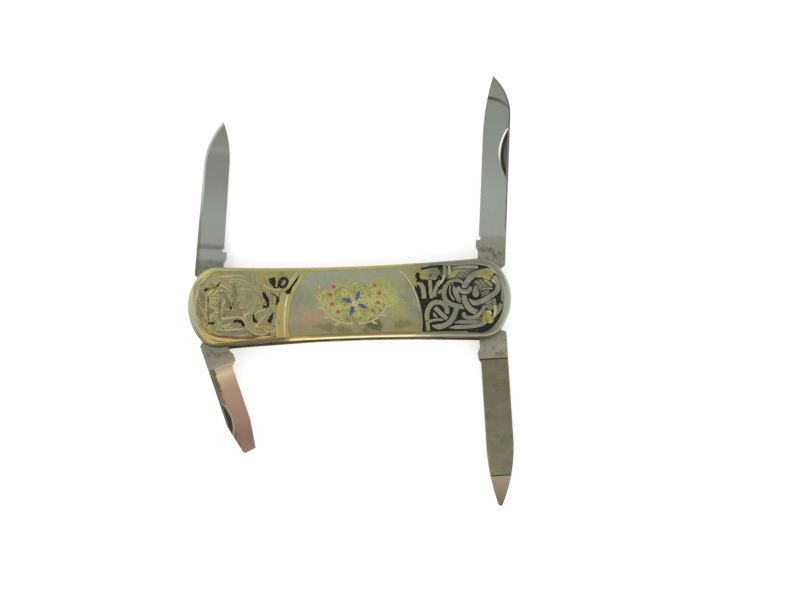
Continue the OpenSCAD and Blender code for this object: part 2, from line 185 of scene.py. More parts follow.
rolled_brass, shader, where = finish("rolled_brass")
dull, cloud = tarnished(where, 420, 0.52, 0.12)
lines = lined(where, (300, 9000, 9000))[0]
surface(shader, mixed(dull, (0.26, 0.19, 0.08), (0.12, 0.085, 0.04)), cloud, (0.28, 0.5), 0.02, 0.4, lines)
dress(rolled_brass, "front_liner", "divider", "back_liner")

# Springs, rivets and spacers
# A double-ended bar of spring steel lies in the middle of each layer, held by two brass rivets.
# A brass ring on each pin fills the layer in which no tool turns.
spring_steel, shader, where = finish("spring_steel")
rust = tarnished(where, 650, 0.6, 0.08)[0]
lines = lined(where, (9000, 500, 500))[0]
surface(shader, mixed(rust, (0.27, 0.275, 0.26), (0.13, 0.1, 0.075)), lines, (0.25, 0.45), 0.02, 0.3)
dress(spring_steel, "front_spring", "back_spring")
dress(rolled_brass, "main_blade_spacer", "pen_blade_spacer", "nail_file_spacer", "screwdriver_spacer",
      "left_spring_rivet", "right_spring_rivet")

# Main blade
# Forged carbon steel, ground flat from the back to a thin cutting edge and polished across.
# It turns on its pin in the front layer; a nail nick near the back helps to draw it out.


def cad_copy(node):
    """A copy of a node's shape, its loose triangles merged and its flat faces made whole."""
    shape = bmesh.new()
    shape.from_mesh(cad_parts[node].data)
    bmesh.ops.remove_doubles(shape, verts=shape.verts, dist=0.002 * MM)
    bmesh.ops.dissolve_limit(shape, angle_limit=radians(0.4), verts=shape.verts, edges=shape.edges)
    return shape


def in_scene(name, data):
    """Makes an object of some data and puts it in the scene."""
    made = bpy.data.objects.new(name, data)
    bpy.context.scene.collection.objects.link(made)
    return made


def piece(name, shape, material, body, replaced=None, smooth=35):
    """Makes a finished shape an object that rides on its body."""
    mesh = bpy.data.meshes.new(name)
    shape.to_mesh(mesh)
    shape.free()
    mesh.shade_smooth()
    mesh.set_sharp_from_angle(angle=radians(smooth))
    mesh.materials.clear()
    mesh.materials.append(material)
    made = in_scene(name, mesh)
    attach(made, body)
    if replaced:
        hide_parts(replaced)
    return made


def ease_edges(made, width, angle=28):
    """Rounds the sharp edges of a piece a little, as polishing does."""
    bevel = made.modifiers.new("eased_edges", "BEVEL")
    bevel.width = width * MM
    bevel.segments = 2
    bevel.limit_method = "ANGLE"
    bevel.angle_limit = radians(angle)
    bevel.harden_normals = True


def ground_tool(tool, steel, smooth):
    """A tool in its ground and polished shape, on the body of its own name."""
    made = piece(tool + "_ground", cad_copy(tool), steel, tool, tool, smooth)
    ease_edges(made, 0.07)


def vector(operation, first, second=(0, 0, 0)):
    measured = operation in ("LENGTH", "DISTANCE", "DOT_PRODUCT")
    return add(first.tree, "ShaderNodeVectorMath", {0: first, 1: second}, "Value" if measured else "Vector",
               operation=operation)


def parts(where):
    """The three coordinates of a place."""
    split = where.tree.nodes.new("ShaderNodeSeparateXYZ")
    where.lead_to(split.inputs[0])
    return [Signal(where.tree, socket) for socket in split.outputs]


def joined(x, y, z=0.0):
    """The place that has given coordinates."""
    return add(x.tree, "ShaderNodeCombineXYZ", {0: x, 1: y, 2: z})


def tool_steel(name, pivot, turn, side, roughness, tones):
    """Ground steel with tones that follow each other along a tool, and the tool's own places in millimetres:
    along it from its pivot, across it and above its middle."""
    material, shader, where = finish(name)
    frame_of_tool = add(where.tree, "ShaderNodeMapping",
                        {"Vector": where, "Location": [c * MM for c in pivot],
                         "Rotation": (0, 0, radians(turn)), "Scale": (MM, side * MM, side * MM)},
                        vector_type="TEXTURE")
    own = parts(frame_of_tool)
    ramp = where.tree.nodes.new("ShaderNodeValToRGB")
    ramp_length = 50
    (own[0] / ramp_length).lead_to(ramp.inputs["Fac"])
    stops = ramp.color_ramp.elements
    while len(stops) < len(tones):
        stops.new(0.5)
    for stop, (place, tone) in zip(stops, tones):
        stop.position = place / ramp_length
        stop.color = (*tone, 1)
    stained, cloud = tarnished(frame_of_tool, 0.55, 0.55, 0.25)
    colour = mixed(stained * 0.05, Signal(where.tree, ramp.outputs[0]), (0.2, 0.19, 0.15))
    lines, scratches = lined(frame_of_tool, (7, 0.35, 7))
    colour = mixed(scratches * 0.06, colour, (0.5, 0.5, 0.47))
    between(cloud, 0.3, 0.75, roughness - 0.02, roughness + 0.04).lead_to(shader["Roughness"])
    relief(shader, lines, 0.004, 0.08)
    return material, shader, own, colour, cloud


def tang_patina(along, colour, cloud, until, dark, yellow):
    """Mottled patina on the tang, where polishing wheels do not reach."""
    near = between(along, until, until - 2)
    light = near * between(cloud, 0.5, 0.36)
    colour = mixed(light * 0.6, colour, yellow)
    spots = near * between(cloud, 0.5, 0.66)
    return mixed(spots * 0.75, colour, dark)


def nick_marks(own, colour, middle, half, width, wall, dark, glint, glint_from):
    """Painted shade in a nail nick and a painted highlight along its curved edge."""
    reach = (own[0] - middle) / half
    bow = 1.0 - reach * reach
    inside = wall + bow * width - own[1]
    front = between(own[2], 0.05, 0.2) * between(bow, 0.0, 0.06)
    sunk = between(inside, 0.02, 0.3) * between(own[1], wall - 0.12, wall + 0.12)
    # Painted shade inside the nick, darkest near its curved edge.
    painted_nick_shade = sunk * front * between(inside, 0.7, 1.3, 0.95, 0.55)
    colour = mixed(painted_nick_shade, colour, dark)
    # Painted highlight along the curved edge of the nick.
    line = between(abs(inside + 0.02), 0.3, 0.14)
    lit = between(own[0], glint_from, glint_from + 4) * front
    return mixed(line * lit, colour, glint)


def rim_distance(own, start, edge, radius):
    """Distance from the curved back of a tool: straight up to a place, then round at a radius."""
    run = math("MAXIMUM", own[0] - start, 0.0)
    rise = own[1] - (edge + radius)
    return abs(radius - vector("LENGTH", joined(run, rise)))


steel, shader, own, colour, cloud = tool_steel(
    "main_blade_steel", pivot=(29.75, 4.7, 4.2), turn=85.2, side=1, roughness=0.27,
    tones=((0, (0.3, 0.3, 0.23)), (7.5, (0.33, 0.33, 0.27)), (9.2, (0.37, 0.39, 0.345)),
           (18, (0.37, 0.407, 0.367)), (27, (0.292, 0.318, 0.287)), (36, (0.257, 0.283, 0.252)),
           (39.6, (0.253, 0.272, 0.236)), (44, (0.243, 0.248, 0.212))))
colour = tang_patina(own[0], colour, cloud, 9, (0.13, 0.12, 0.075), (0.36, 0.345, 0.2))
# Painted shade: a dark strip along the curved back of the blade.
spine = rim_distance(own, 36.1, -3.8, 11.9)
painted_back_shade = between(spine, 0.5, 0.25) * between(own[0], 9.5, 12)
colour = mixed(painted_back_shade * 0.55, colour, (0.1, 0.105, 0.075))
# A painted reflection: a dark arc across the blade near its point.
away = abs(vector("DISTANCE", joined(own[0], own[1]), (33.15, 1.6, 0)) - 6.95)
painted_reflection_arc = between(away, 0.6, 0.15) * between(own[0], 35.5, 38)
colour = mixed(painted_reflection_arc * between(own[1], -3.5, 0.5, 0.45, 0.9), colour, (0.075, 0.08, 0.065))
# Painted shade in the nail nick and a painted highlight along its curved edge.
colour = nick_marks(own, colour, 27.5, 5.75, 1.6, -3.35, (0.035, 0.033, 0.02), (1, 1, 0.97), 24.5)
colour.lead_to(shader["Base Color"])
ground_tool("main_blade", steel, 1)

# Pen blade
# The smaller blade, made as the main blade but with a bevelled back towards its point.
# It lies face down in the back layer, so its nail nick is on the hidden side.
steel, shader, own, colour, cloud = tool_steel(
    "pen_blade_steel", pivot=(-29.75, 4.7, 2.2), turn=85.4, side=-1, roughness=0.28,
    tones=((0, (0.215, 0.225, 0.175)), (5.6, (0.2, 0.21, 0.165)), (6.4, (0.345, 0.357, 0.338)),
           (8.2, (0.325, 0.34, 0.323)), (8.8, (0.185, 0.19, 0.165)), (10, (0.385, 0.412, 0.377)),
           (16, (0.4, 0.427, 0.392)), (24, (0.305, 0.32, 0.29)), (29.6, (0.295, 0.305, 0.27)),
           (31, (0.38, 0.39, 0.34)), (32, (0.3, 0.315, 0.265)), (37, (0.28, 0.3, 0.25))))
colour = tang_patina(own[0], colour, cloud, 7, (0.1, 0.1, 0.07), (0.31, 0.31, 0.2))
heel = between(own[1], -2.95, -3.3) * between(own[0], 19, 12)
colour = mixed(heel * 0.6, colour, (0.14, 0.145, 0.095))
# Painted highlight: a pale strip along the bevelled back towards the point.
strip = rim_distance(own, 26.4, -3.5, 17.9)
painted_highlight = between(strip, 0.58, 0.42) * between(own[0], 15, 24)
colour = mixed(painted_highlight * 0.85, colour, (0.66, 0.67, 0.6))
# Painted shade in the nail nick and a painted highlight along its curved edge.
colour = nick_marks(own, colour, 21, 4.5, 1.6, -3.05, (0.05, 0.048, 0.035), (0.7, 0.7, 0.66), 18)
colour.lead_to(shader["Base Color"])
ground_tool("pen_blade", steel, 5)

# Nail file
# A flat steel blank with cross-cut teeth on both faces between two shallow steps.
# The tang and the tapered cleaning point are left smooth.
file_pivot, file_turn = (29.75, -4.7, 2.2), -89
steel, shader, own, colour, cloud = tool_steel(
    "nail_file_steel", pivot=file_pivot, turn=file_turn, side=-1, roughness=0.34,
    tones=((0, (0.26, 0.265, 0.21)), (4.6, (0.345, 0.347, 0.268)), (5.6, (0.37, 0.345, 0.25)),
           (8.1, (0.36, 0.335, 0.25)), (8.4, (0.175, 0.172, 0.105)), (20, (0.21, 0.21, 0.15)),
           (33.1, (0.265, 0.25, 0.155)), (33.4, (0.43, 0.36, 0.255)), (36.2, (0.35, 0.285, 0.203)),
           (39.1, (0.236, 0.197, 0.135))))
colour = tang_patina(own[0], colour, cloud, 9, (0.17, 0.165, 0.12), (0.42, 0.39, 0.28))
# Painted shade: near-black lines along the two steps.
step = math("MINIMUM", abs(own[0] - 8.3), abs(own[0] - 33.3))
colour = mixed(between(step, 0.2, 0.06), colour, (0.05, 0.045, 0.028))
toothed = between(own[0], 8.3, 8.6) * between(own[0], 33.3, 33.0)
along_file = vector("MULTIPLY", joined(*own), (0.8, 0.7, 1))
browned = between(own[1], 0.5, -2.2) * between(own[0], 26, 12)
colour = mixed(browned * toothed * 0.5, colour, (0.25, 0.19, 0.1))
for scale, level, soft, share, tone in (
        (0.6, 0.52, 0.14, 0.3, (0.25, 0.2, 0.105)), (0.5, 0.54, 0.14, 0.4, (0.12, 0.12, 0.08)),
        (2.6, 0.68, 0.04, 0.5, (0.42, 0.41, 0.31))):
    marked = tarnished(along_file, scale, level, soft)[0]
    colour = mixed(toothed * marked * share, colour, tone)
cuts = add(cloud.tree, "ShaderNodeTexWave", {"Vector": joined(*own), "Scale": 0.62, "Distortion": 0.8}, "Fac")
ridged = toothed * cuts * between(cloud, 0.35, 0.65, 0.02, 0.3)
colour = mixed(ridged, colour, (0.34, 0.34, 0.25))
# Painted shade in the nail nick and a painted highlight along its curved edge.
colour = nick_marks(own, colour, 25, 4, 1.6, -3.25, (0.05, 0.048, 0.035), (0.6, 0.6, 0.5), 22)
colour.lead_to(shader["Base Color"])


def cut_teeth(shape, pivot, turn, start, end, pitch, height):
    """Cuts crossing grooves into both flat faces of a file and raises a tooth in each diamond."""
    middle, half = pivot[2] * MM, pitch * MM / 2
    direction = Vector((cos(radians(turn)), sin(radians(turn)), 0))
    origin = Vector(pivot) * MM
    faces = [f for f in shape.faces if abs(f.normal.z) > 0.999
             and start < (f.calc_center_median() - origin).dot(direction) / MM < end]
    ways = [Matrix.Rotation(radians(lean), 3, "Z") @ direction for lean in (38, -38)]
    rim = {v for f in faces for v in f.verts}
    for way in ways:
        reach = [(v.co - origin).dot(way) for v in rim]
        step = int(min(reach) / half)
        while step * half < max(reach):
            geometry = {g for f in faces for g in (f, *f.edges, *f.verts)}
            cut = bmesh.ops.bisect_plane(shape, geom=list(geometry), dist=1e-7,
                                         plane_co=origin + way * step * half, plane_no=way)
            faces = [g for g in cut["geom"] if isinstance(g, bmesh.types.BMFace)]
            step += 1
    flat = set(faces)
    for v in {v for f in faces for v in f.verts}:
        if not all(f in flat for f in v.link_faces):
            continue
        turns = [round((v.co - origin).dot(way) / half) for way in ways]
        peak = all(t % 2 for t in turns)
        up = 1 if v.co.z > middle else -1
        v.co.z += up * (height if peak else -height / 2) * MM


shape = cad_copy("nail_file")
cut_teeth(shape, file_pivot, file_turn, start=9, end=32.5, pitch=0.56, height=0.06)
piece("nail_file_cut", shape, steel, "nail_file", "nail_file", smooth=5)

# Screwdriver
# A short steel blade ground thinner beyond its tang and tapered to a flat end.
# Heat and wear have left its ground face tan, with dark pitting along the back; a pale cream band across it
# just beyond the tang is a painted highlight.
# The tones along it: the tan of heat, and at 10 mm a painted highlight, the pale cream stop.
steel, shader, own, colour, cloud = tool_steel(
    "screwdriver_steel", pivot=(-29.75, -4.7, 4.2), turn=-72.6, side=1, roughness=0.3,
    tones=((0, (0.265, 0.255, 0.195)), (7.4, (0.32, 0.29, 0.225)), (8.6, (0.5, 0.4, 0.27)),
           (10, (0.8, 0.62, 0.385)), (11.6, (0.58, 0.43, 0.265)), (13.5, (0.49, 0.33, 0.225)),
           (18, (0.445, 0.285, 0.2)), (24, (0.32, 0.2, 0.16)), (27.5, (0.335, 0.23, 0.19))))
colour = tang_patina(own[0], colour, cloud, 8.6, (0.15, 0.145, 0.095), (0.34, 0.3, 0.2))
blushed = tarnished(joined(*own), 0.42, 0.52, 0.12)[0] * between(own[0], 11, 15)
colour = mixed(blushed * 0.3, colour, (0.5, 0.26, 0.2))
ground = between(own[0], 7.8, 8.6)
jagged = tarnished(joined(*own), 0.8, 0.5, 0.1)[1]
across = own[1] + (jagged - 0.5) * 3.2
colour = mixed(between(across, -2.5, -2.85) * ground, colour, (0.2, 0.19, 0.145))
rim = between(abs(across + 2.45), 0.5, 0.15)
pitted = rim * ground * between(own[0], 14.5, 12.5, 0.45, 1)
colour = mixed(pitted * 0.85, colour, (0.07, 0.06, 0.045))
# Painted shade in the nail nick and a painted highlight along its curved edge.
colour = nick_marks(own, colour, 19.5, 3.8, 1.1, -3.05, (0.045, 0.045, 0.035), (0.4, 0.36, 0.29), 14)
colour.lead_to(shader["Base Color"])
ground_tool("screwdriver", steel, 5)

# Covers
# A struck brass cover on each side, gilt, with a rounded rim, a raised border and two sunk panels.
# The gilding has worn thin at the ends and gone from the right half, where the silvery ground shows.


def in_millimetres(where):
    """The three coordinates of a place on the handle in millimetres."""
    return parts(vector("MULTIPLY", where, (1 / MM,) * 3))


gilt, shader, where = finish("worn_gilt")
place = in_millimetres(where)
rubbed, cloud = tarnished(where, 260, 0.5, 0.2)
warm = tarnished(where, 95, 0.52, 0.12)[0]
ragged = (cloud - 0.5) * 16
across = place[0] + ragged
up = place[1] + ragged * 0.4
gold = mixed(warm, (0.42, 0.4, 0.15), (0.5, 0.42, 0.16))
gold = mixed(rubbed * 0.4, gold, (0.5, 0.48, 0.28))
low_left = between(up, -4.8, -6.4) * between(across, 2, -14)
gold = mixed(low_left * 0.9, gold, (0.62, 0.44, 0.155))
high_left = between(up, 5.8, 7.0) * between(across, -6, -14)
gold = mixed(high_left * 0.8, gold, (0.36, 0.355, 0.165))
broad = between(abs(place[0] + 13.9), 1.9, 1.3)
broad = broad * between(place[1], 4.0, 1.5)
banded = mixed(between(up, -3.0, -6.0), (0.47, 0.41, 0.155), (0.47, 0.335, 0.135))
gold = mixed(broad * 0.7, gold, banded)
silver = mixed(warm, (0.235, 0.24, 0.175), (0.28, 0.277, 0.195))
colour = mixed(between(across, 8, 19), gold, silver)
for side, tone in ((1, (0.47, 0.475, 0.38)), (-1, (0.37, 0.375, 0.29))):
    end = between(place[0] * side, 31.4, 33.8)
    colour = mixed(end * 0.85, colour, tone)
level = abs(place[2] - 3.2)
# Painted highlight: a pale cream line along the rounded lower rim at the waist.
rounded = between(level, 3.12, 3.0) * between(place[1], -6.9, -7.2)
waist = between(across, -17, -5) * between(across, 21, 9)
painted_highlight = rounded * waist
colour = mixed(painted_highlight * 0.9, colour, (0.84, 0.79, 0.55))
# Painted shade: the lower rim darker towards the right end, beyond the highlight.
painted_rim_shade_right = between(place[1], -6.6, -7.2) * between(across, 13, 22)
colour = mixed(painted_rim_shade_right * 0.8, colour, (0.19, 0.19, 0.13))
# Painted shade: the rounded lower edge dark olive towards the left end; the roughness is raised there as
# well.
hollow = place[1] + place[0] * place[0] * 0.001185
edge = math("MAXIMUM", between(level, 3.17, 3.07), between(hollow, -6.9, -7.15))
edge = edge * between(place[1], -3.0, -6.2)
painted_left_rim_shade = edge * between(across, -11, -17)
olive = mixed(between(across, -27, -32), (0.108, 0.1, 0.055), (0.19, 0.18, 0.11))
colour = mixed(painted_left_rim_shade * 0.94, colour, olive)
# Painted shade: a brown line at the top of the rounded lower rim at the waist.
painted_brow_shade = between(level, 3.04, 3.1) * between(hollow, -6.55, -6.85)
colour = mixed(painted_brow_shade * waist * 0.85, colour, (0.25, 0.18, 0.055))
# Painted shade: dark brown on the lower rim and the side wall, turned to a pale gold painted highlight on the
# lower side at the waist.
painted_wall_shade = between(level, 2.75, 2.45)
painted_side_highlight = waist * between(place[1], -5.8, -6.4)
colour = mixed(painted_wall_shade * 0.8, colour, mixed(painted_side_highlight, (0.13, 0.1, 0.05), (0.62, 0.53, 0.2)))
lines, scratches = lined(where, (600, 5200, 5200))
colour = mixed(scratches * 0.15, colour, (0.62, 0.58, 0.42))
colour.lead_to(shader["Base Color"])
rough = math("MAXIMUM", between(cloud, 0.3, 0.7, 0.24, 0.4), painted_left_rim_shade * 0.6)
rough.lead_to(shader["Roughness"])
relief(shader, lines, 0.012, 0.35)
for face in ("front", "back"):
    cover = piece(face + "_cover_struck", cad_copy(face + "_cover"), gilt, "handle", face + "_cover")
    ease_edges(cover, 0.09, 50)

# Enamel of the panels
# The floor of each panel was filled with black enamel. On the right it is whole and glossy;
# on the left it has worn off the gilt ground and is left only in the deepest corners.


def oval(where, middle, size):
    """Distance from a place on the handle, 1 at the rim of an oval."""
    centred = add(where.tree, "ShaderNodeMapping",
                  {"Vector": where, "Location": (middle[0] * MM, middle[1] * MM, 0),
                   "Scale": (size[0] * MM, size[1] * MM, 1)}, vector_type="TEXTURE")
    return vector("LENGTH", vector("MULTIPLY", centred, (1, 1, 0)))


black_enamel, shader, where = finish("black_enamel", metallic=0)
dust, cloud = tarnished(where, 1500, 0.64, 0.06)
shader["Specular IOR Level"].default_value = 0.25
colour = mixed(dust, (0.009, 0.008, 0.006), (0.05, 0.045, 0.032))
for middle, size in (((23.4, 5.5), (4.4, 1.7)), ((28.9, 2.8), (2.4, 1.6)), ((30.1, -1.8), (1.6, 1.2)),
                     ((27.3, -5.0), (1.5, 1.0))):
    spread = oval(where, middle, size) + (cloud - 0.5)
    colour = mixed(between(spread, 1.1, 0.6) * 0.85, colour, (0.125, 0.118, 0.075))
surface(shader, colour, cloud, (0.14, 0.4), 0.03, 0.3)

handled, given, out = effect("handled", {"Vector": "Vector"}, ("Mask",))
cloud = add(handled, "ShaderNodeTexNoise", {"Vector": given["Vector"], "Scale": 380, "Detail": 4})
spread = oval(given["Vector"], (-22.2, 3.0), (4.3, 4.8)) + (cloud - 0.5)
between(spread, 1.15, 0.65).lead_to(out["Mask"])


def rubbed_smooth(where, colour):
    """The colour of the left panel, evened out where a thumb has worn it, with a coppery spot."""
    worn = placed(handled, where)[0]
    colour = mixed(worn * 0.88, colour, (0.315, 0.305, 0.156))
    coppery = between(oval(where, (-17.8, -4.7), (1.9, 1.4)), 1.25, 0.6)
    return mixed(coppery * 0.6, colour, (0.4, 0.265, 0.13))


gilt_ground, shader, where = finish("gilt_ground")
stain, cloud = tarnished(where, 700, 0.53, 0.14)
colour = mixed(stain, (0.37, 0.34, 0.135), (0.25, 0.22, 0.09))
place = in_millimetres(where)
colour = mixed(between(place[1], -5.4, -6.5, 0.0, 0.8), colour, (0.13, 0.08, 0.055))
cheek = between(place[0], 16.4, 17.8) * between(place[0], 20.8, 20.2)
cheek = cheek * between(place[1], 4.0, 4.6)
colour = mixed(cheek * 0.85, colour, (0.2, 0.195, 0.135))
surface(shader, rubbed_smooth(where, colour), cloud, (0.3, 0.5), 0.04, 0.4)
dress(black_enamel, "front_right_enamel", "back_left_enamel")
dress(gilt_ground, "front_left_enamel", "back_right_enamel")

# Interlace of the panels
# Bands of a beast-and-knot interlace stand up from the floor of each panel, struck with the cover.
# They pass over and under each other, silvery in the right panel, gilt and worn in the left.

# Each row is the width of a band, the shape of its ends unless they are cut flat, and its route in
# millimetres. A third number on the route is the steps by which the band dips there, a fourth its share of
# the width.
bands = (
    (1.5, ((31.1, 4.9, -2), (30.1, 5.65, -2), (28.7, 5.55, -1), (27.2, 5.05), (26.1, 4.35), (25.3, 3.4),
           (24.8, 2.6, -1), (24.5, 1.8, -1), (24.4, 1, -1), (24.42, 0.3, -1), (24.6, -0.5), (25, -1.45),
           (25.55, -2.3), (26.3, -2.9), (27.3, -3.2, -1))),
    (1.36, ((31.2, 4.5), (31.8, 3.3), (31.95, 2.2), (31.6, 1.2), (30.6, 0.45), (29.2, -0.4), (27.9, -1),
            (26.9, -1.2), (26.2, -1.1, -1), (25.6, -0.8, -1), (24.9, -0.4, -1))),
    (1.16, ((23.2, 2.4, -1), (23.6, 1.75), (24.2, 1.35), (24.9, 1.28), (25.5, 1.45), (25.9, 1.85),
            (26.1, 2.4, -1, 0.7))),
    (1.9, ((27.2, 2.5, 0, 0.3), (27.12, 2, 0, 0.55), (27.08, 1.4, 0, 0.9), (27.08, 0.85, 0, 1),
           (27.08, 0.45, 0, 0.9), (27.08, 0.2, 0, 0.65), (27.08, 0.05, 0, 0.3))),
    (1.26, ((20.75, 2.8), (20.4, 2.1), (20.25, 1.1), (20.35, 0.1), (20.85, -0.75), (21.8, -1.35),
            (22.8, -1.68), (23.6, -1.85, -1), (24.3, -1.9, -1), (24.9, -1.8, -1))),
    (0.69, ((20.75, 2.8), (21.2, 3.4), (21.95, 3.75), (22.9, 3.85), (23.9, 3.65), (24.6, 3.2, -1))),
    (1.38, "leaf", ((22.3, 2.7), (22.65, 1.6), (23, 0.6), (23.4, -0.3), (23.9, -1.2, -1))),
    (0.44, ((21.7, 2.6), (21.5, 1.7), (21.6, 0.9), (22, 0.15), (22.5, -0.4))),
    (1.26, ((16.45, -4.7), (16.4, -3.7), (16.6, -2.6), (17.05, -1.65), (17.85, -0.95), (18.9, -0.75),
            (19.9, -1.05), (20.55, -1.8), (20.75, -2.7), (20.7, -3.4, -1))),
    (1.14, ((18.2, -1.9), (18.8, -2.55), (19.5, -3.3), (20.2, -4), (20.9, -4.6, -1))),
    (0.86, "leaf", ((17.75, -3), (18.1, -3.55), (18.7, -4.15))),
    (0.63, ((16.7, -5), (17.4, -4.7), (18.4, -4.55), (19.5, -4.55), (20.4, -4.35, -1))),
    (1, ((16.45, -4.9), (16.5, -5.8), (16.6, -6.9))),
    (1.38, "tail", ((22.85, -2, -1), (22.65, -2.7), (22.3, -3.6), (21.7, -4.6), (20.9, -5.4), (19.8, -5.9),
                    (18.6, -6.05), (17.4, -5.8))),
    (0.98, ((24.3, -3.2), (24.35, -3.85), (24.9, -4.3), (25.8, -4.4), (26.8, -4.15), (27.7, -3.55),
            (28.4, -2.75), (28.85, -1.9))),
    (0.92, "leaf", ((22, -5.35), (23.4, -5.2), (25, -5.25), (26.5, -5.3), (28, -5.4))),
    (0.98, "leaf", ((21, -6.4), (22.6, -6.3), (24.5, -6.3), (26.4, -6.2), (28, -5.9), (29.4, -5.4))),
    (1.5, ((30.3, -4.8, 0, 0.3), (30.95, -4, 0, 0.5), (31.55, -3.2, 0, 0.75), (32.1, -2.4, 0, 0.95),
           (32.5, -1.6, 0, 0.8))),
    (0.75, ((22.4, 6.5), (24, 6.75), (25.8, 6.75), (27.8, 6.55))),
    (0.47, "leaf", ((21.2, 4.6), (22.2, 5.45), (23.4, 5.9), (24.8, 5.95), (26.2, 5.85))),
    (0.32, ((23.3, 5.4), (24.3, 4.6))),
    (0.32, ((24.1, 5.6), (25.1, 4.8))),
    (0.32, ((24.9, 5.6), (25.7, 5.1))),
    (0.98, ((20.6, 7.1), (20.65, 6.2), (20.5, 5.2), (20.1, 4.5))),
    (0.42, ((21.6, 7), (21.65, 5.9), (21.4, 5))),
    (1, ((17.35, 4.1), (17.4, 2.8), (17.45, 1.4), (17.65, 0.1))),
    (1, ((19.5, 4), (18.95, 3), (18.5, 2.1), (18.25, 1.2), (18.15, 0.4))),
    (1.26, ((15.25, 3.5), (15.7, 2.6), (15.9, 1.4), (15.95, 0.1))),
    (0.8, "leaf", ((19.9, 2.3), (19.4, 1.5), (18.8, 0.95))),
    (0.8, "leaf", ((13.9, 3.8), (15, 3.4), (16.5, 2.9))),
    (0.37, ((27.1, 3.6), (27.9, 3.05), (28.5, 2.2))),
    (0.37, ((28, 3.7), (28.7, 3.1), (29.2, 2.3))),
    (0.42, ((29.1, 3.8), (30, 3.1), (30.6, 2.4))),
    (0.37, ((28.4, 1.9), (29.5, 1.82), (30.8, 1.75))),
    (0.37, ((28.1, 0.65), (28.9, 1.1), (29.9, 1.35))),
    (0.5, "leaf", ((28.1, 0.1), (28.9, 0.5), (29.8, 0.9), (30.6, 1.3))),
    (0.4, ((21.45, 3.3), (21.55, 2.9), (21.6, 2.4))),
    (0.4, ((22.1, 3.4), (22.15, 2.9))),
    (0.32, ((27.7, 2.5), (28.05, 1.6), (28.15, 0.8))),
    (0.47, ((29.1, -1.35), (30.2, -0.9), (31.1, -0.3))),
    (0.47, ((31.1, -0.4), (31, -1.5), (31.05, -2.6))),
    (0.57, ((29.1, -1.9), (29.9, -2.25), (30.8, -2.55))),
    (0.32, ((29.6, -1.4), (30.1, -1.8), (30.7, -2.3))),
    (1.3, ((29.9, 7.1, 0, 0.5), (31.5, 5.9, 0, 0.8), (32.6, 4.4, 0, 1), (33, 2.6, 0, 1), (33.05, 1, 0, 1),
           (33.05, -0.6, 0, 0.9), (33.2, -2.2, 0, 0.4))),
)
head = (
    (1.4, ((13.6, 6.75), (17, 6.8), (19.3, 6.7))),
    (1.4, ((13.6, 5.8), (17, 5.8), (19.6, 5.7))),
    (1.4, ((13.9, 4.85), (17, 4.8), (19, 4.8))),
    (0.7, "leaf", ((14.1, 4.6), (14.2, 3.6), (14.45, 2.6))),
    (1.6, "leaf", ((21.3, 4.3), (22.3, 5.3), (23.6, 6.2))),
    (1.7, "leaf", ((27.4, 4.4), (28.7, 5.1), (30.4, 5.3))),
    (1.1, ((28.7, -5.6), (28.6, -4.5), (29, -3.5), (30.1, -3.2))),
)
head_lines = (
    (1, ((15.5, 6.6, 0, 0.6), (16.5, 6.7, 0, 0.6), (17.5, 6.9, 0, 0.6), (18.6, 7, 0, 0.7),
         (19.5, 6.75, 0, 0.95), (19.85, 6.1, 0, 1), (19.75, 5.2, 0, 0.9), (19.3, 4.4, 0, 0.7),
         (18.6, 3.75, 0, 0.5))),
    (1.4, ((15, 5.8, 0, 0.5), (14.75, 5.25, 0, 1), (14.8, 4.7, 0, 0.9), (15.2, 4.25, 0, 0.5),
           (15.9, 4, 0, 0.36), (16.6, 3.95, 0, 0.3))),
)
# Polished edges of the right bands, laid in pale gilt, their cream partly a painted highlight.
polished_right = (
    (0.4, ((21.6, 7.1), (21.65, 6), (21.5, 5.1))),
    (0.46, "leaf", ((19.1, 2.7), (19.8, 3.6), (20.3, 4.4), (20.6, 5))),
    (0.7, "leaf", ((29.2, -3.3), (29.9, -3.3), (30.3, -3.8))),
    (0.6, ((31.15, -1.9), (31.1, -3), (30.8, -4.2))),
    (0.4, "leaf", ((30.4, 3.9), (31, 3.4), (31.5, 2.6))),
)
border_fill = (
    (0.5, ((15.4, -7.3), (18, -7.35), (22, -7.4), (25, -7.5))),
    (1.1, ((-14.3, 2.2), (-15.1, -0.5), (-15.5, -3.5), (-15.55, -7.1))),
    (0.8, ((20.3, 7.5), (23, 7.58), (26, 7.6), (28.5, 7.45), (29.8, 7.1))),
    (0.9, "leaf", ((-31.6, -5.2), (-30.6, -6.1), (-29.2, -6.8), (-27.2, -7.2), (-24.5, -7.4), (-22, -7.45))),
    (0.5, "leaf", ((-20.5, -7.2), (-18.5, -6.95), (-16.5, -7))),
)
END_SHARES = {"leaf": (0.15, 0.15), "tail": (1, 0.25)}
DIP_STEP = 0.07


